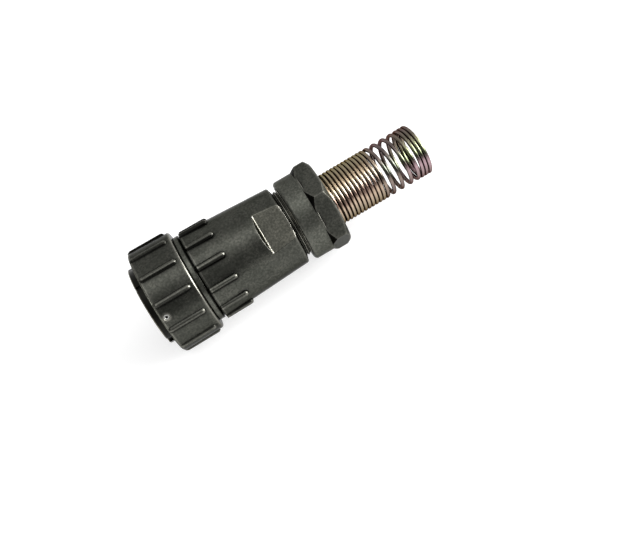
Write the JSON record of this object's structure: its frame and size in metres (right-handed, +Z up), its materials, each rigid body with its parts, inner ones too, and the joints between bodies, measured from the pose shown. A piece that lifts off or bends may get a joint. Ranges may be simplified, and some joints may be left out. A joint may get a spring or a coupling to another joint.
{
  "type": "circular connector plug",
  "caption": "Cable plug of a circular connector: ribbed bayonet coupling ring, keyed barrel with contact pins, tapered backshell, hex gland nut and coil spring strain relief.",
  "frame": {"origin": "centre of the keyed barrel's front face, on the connector's axis", "axes": "+X along the connector's axis from the mating face to the cable end, +Z up with the plug lying on two ribs of its coupling ring and a flat of its hexagon"},
  "size_m": [0.092, 0.0326, 0.0326],
  "materials": {
    "dark_plating": "satin dark plating",
    "shell_alloy": "turned and bead blasted",
    "insert_blue": "moulded",
    "contact_plating": "silver plated",
    "bright_steel": "bright",
    "black_rubber": "matt",
    "yellow_zinc": "yellow passivated zinc"
  },
  "bodies": {
    "plug_body": {"front_shell": "shell_alloy", "front_insulator": "insert_blue", "rear_insulator": "insert_blue", "insulator_retaining_ring": "dark_plating", "contact_pin_1": "contact_plating", "contact_pin_2": "contact_plating", "contact_pin_3": "contact_plating", "contact_pin_4": "contact_plating", "contact_pin_5": "contact_plating", "contact_pin_6": "contact_plating", "contact_pin_7": "contact_plating", "contact_pin_8": "contact_plating", "contact_pin_9": "contact_plating", "contact_pin_10": "contact_plating", "contact_pin_11": "contact_plating", "contact_pin_12": "contact_plating", "contact_pin_13": "contact_plating", "contact_pin_14": "contact_plating", "face_seal": "black_rubber", "wave_washer": "bright_steel", "backshell": "dark_plating", "backshell_gasket": "black_rubber", "cable_grommet": "black_rubber"},
    "coupling_ring": {"coupling_ring": "dark_plating", "bayonet_pin_1": "bright_steel", "bayonet_pin_2": "bright_steel", "bayonet_pin_3": "bright_steel"},
    "gland_carriage": {"thrust_washer": "bright_steel", "strain_relief_spring": "yellow_zinc"},
    "gland_nut": {"gland_nut": "dark_plating"}
  },
  "joints": [
    {"name": "coupling_turn", "type": "hinge", "parent": "plug_body", "child": "coupling_ring", "pos_m": [0.0147, 0, 0], "axis": [1, 0, 0], "continuous": true},
    {"name": "gland_travel", "type": "slide", "parent": "plug_body", "child": "gland_carriage", "axis": [1, 0, 0], "range_m": [0, 0.005]},
    {"name": "nut_turn", "type": "hinge", "parent": "gland_carriage", "child": "gland_nut", "pos_m": [0.0545, 0, 0], "axis": [1, 0, 0], "range_deg": [0, 1800]}
  ],
  "couplings": [
    {"joint": "gland_travel", "follows": "nut_turn", "m_per_rad": 0.00015915}
  ]
}
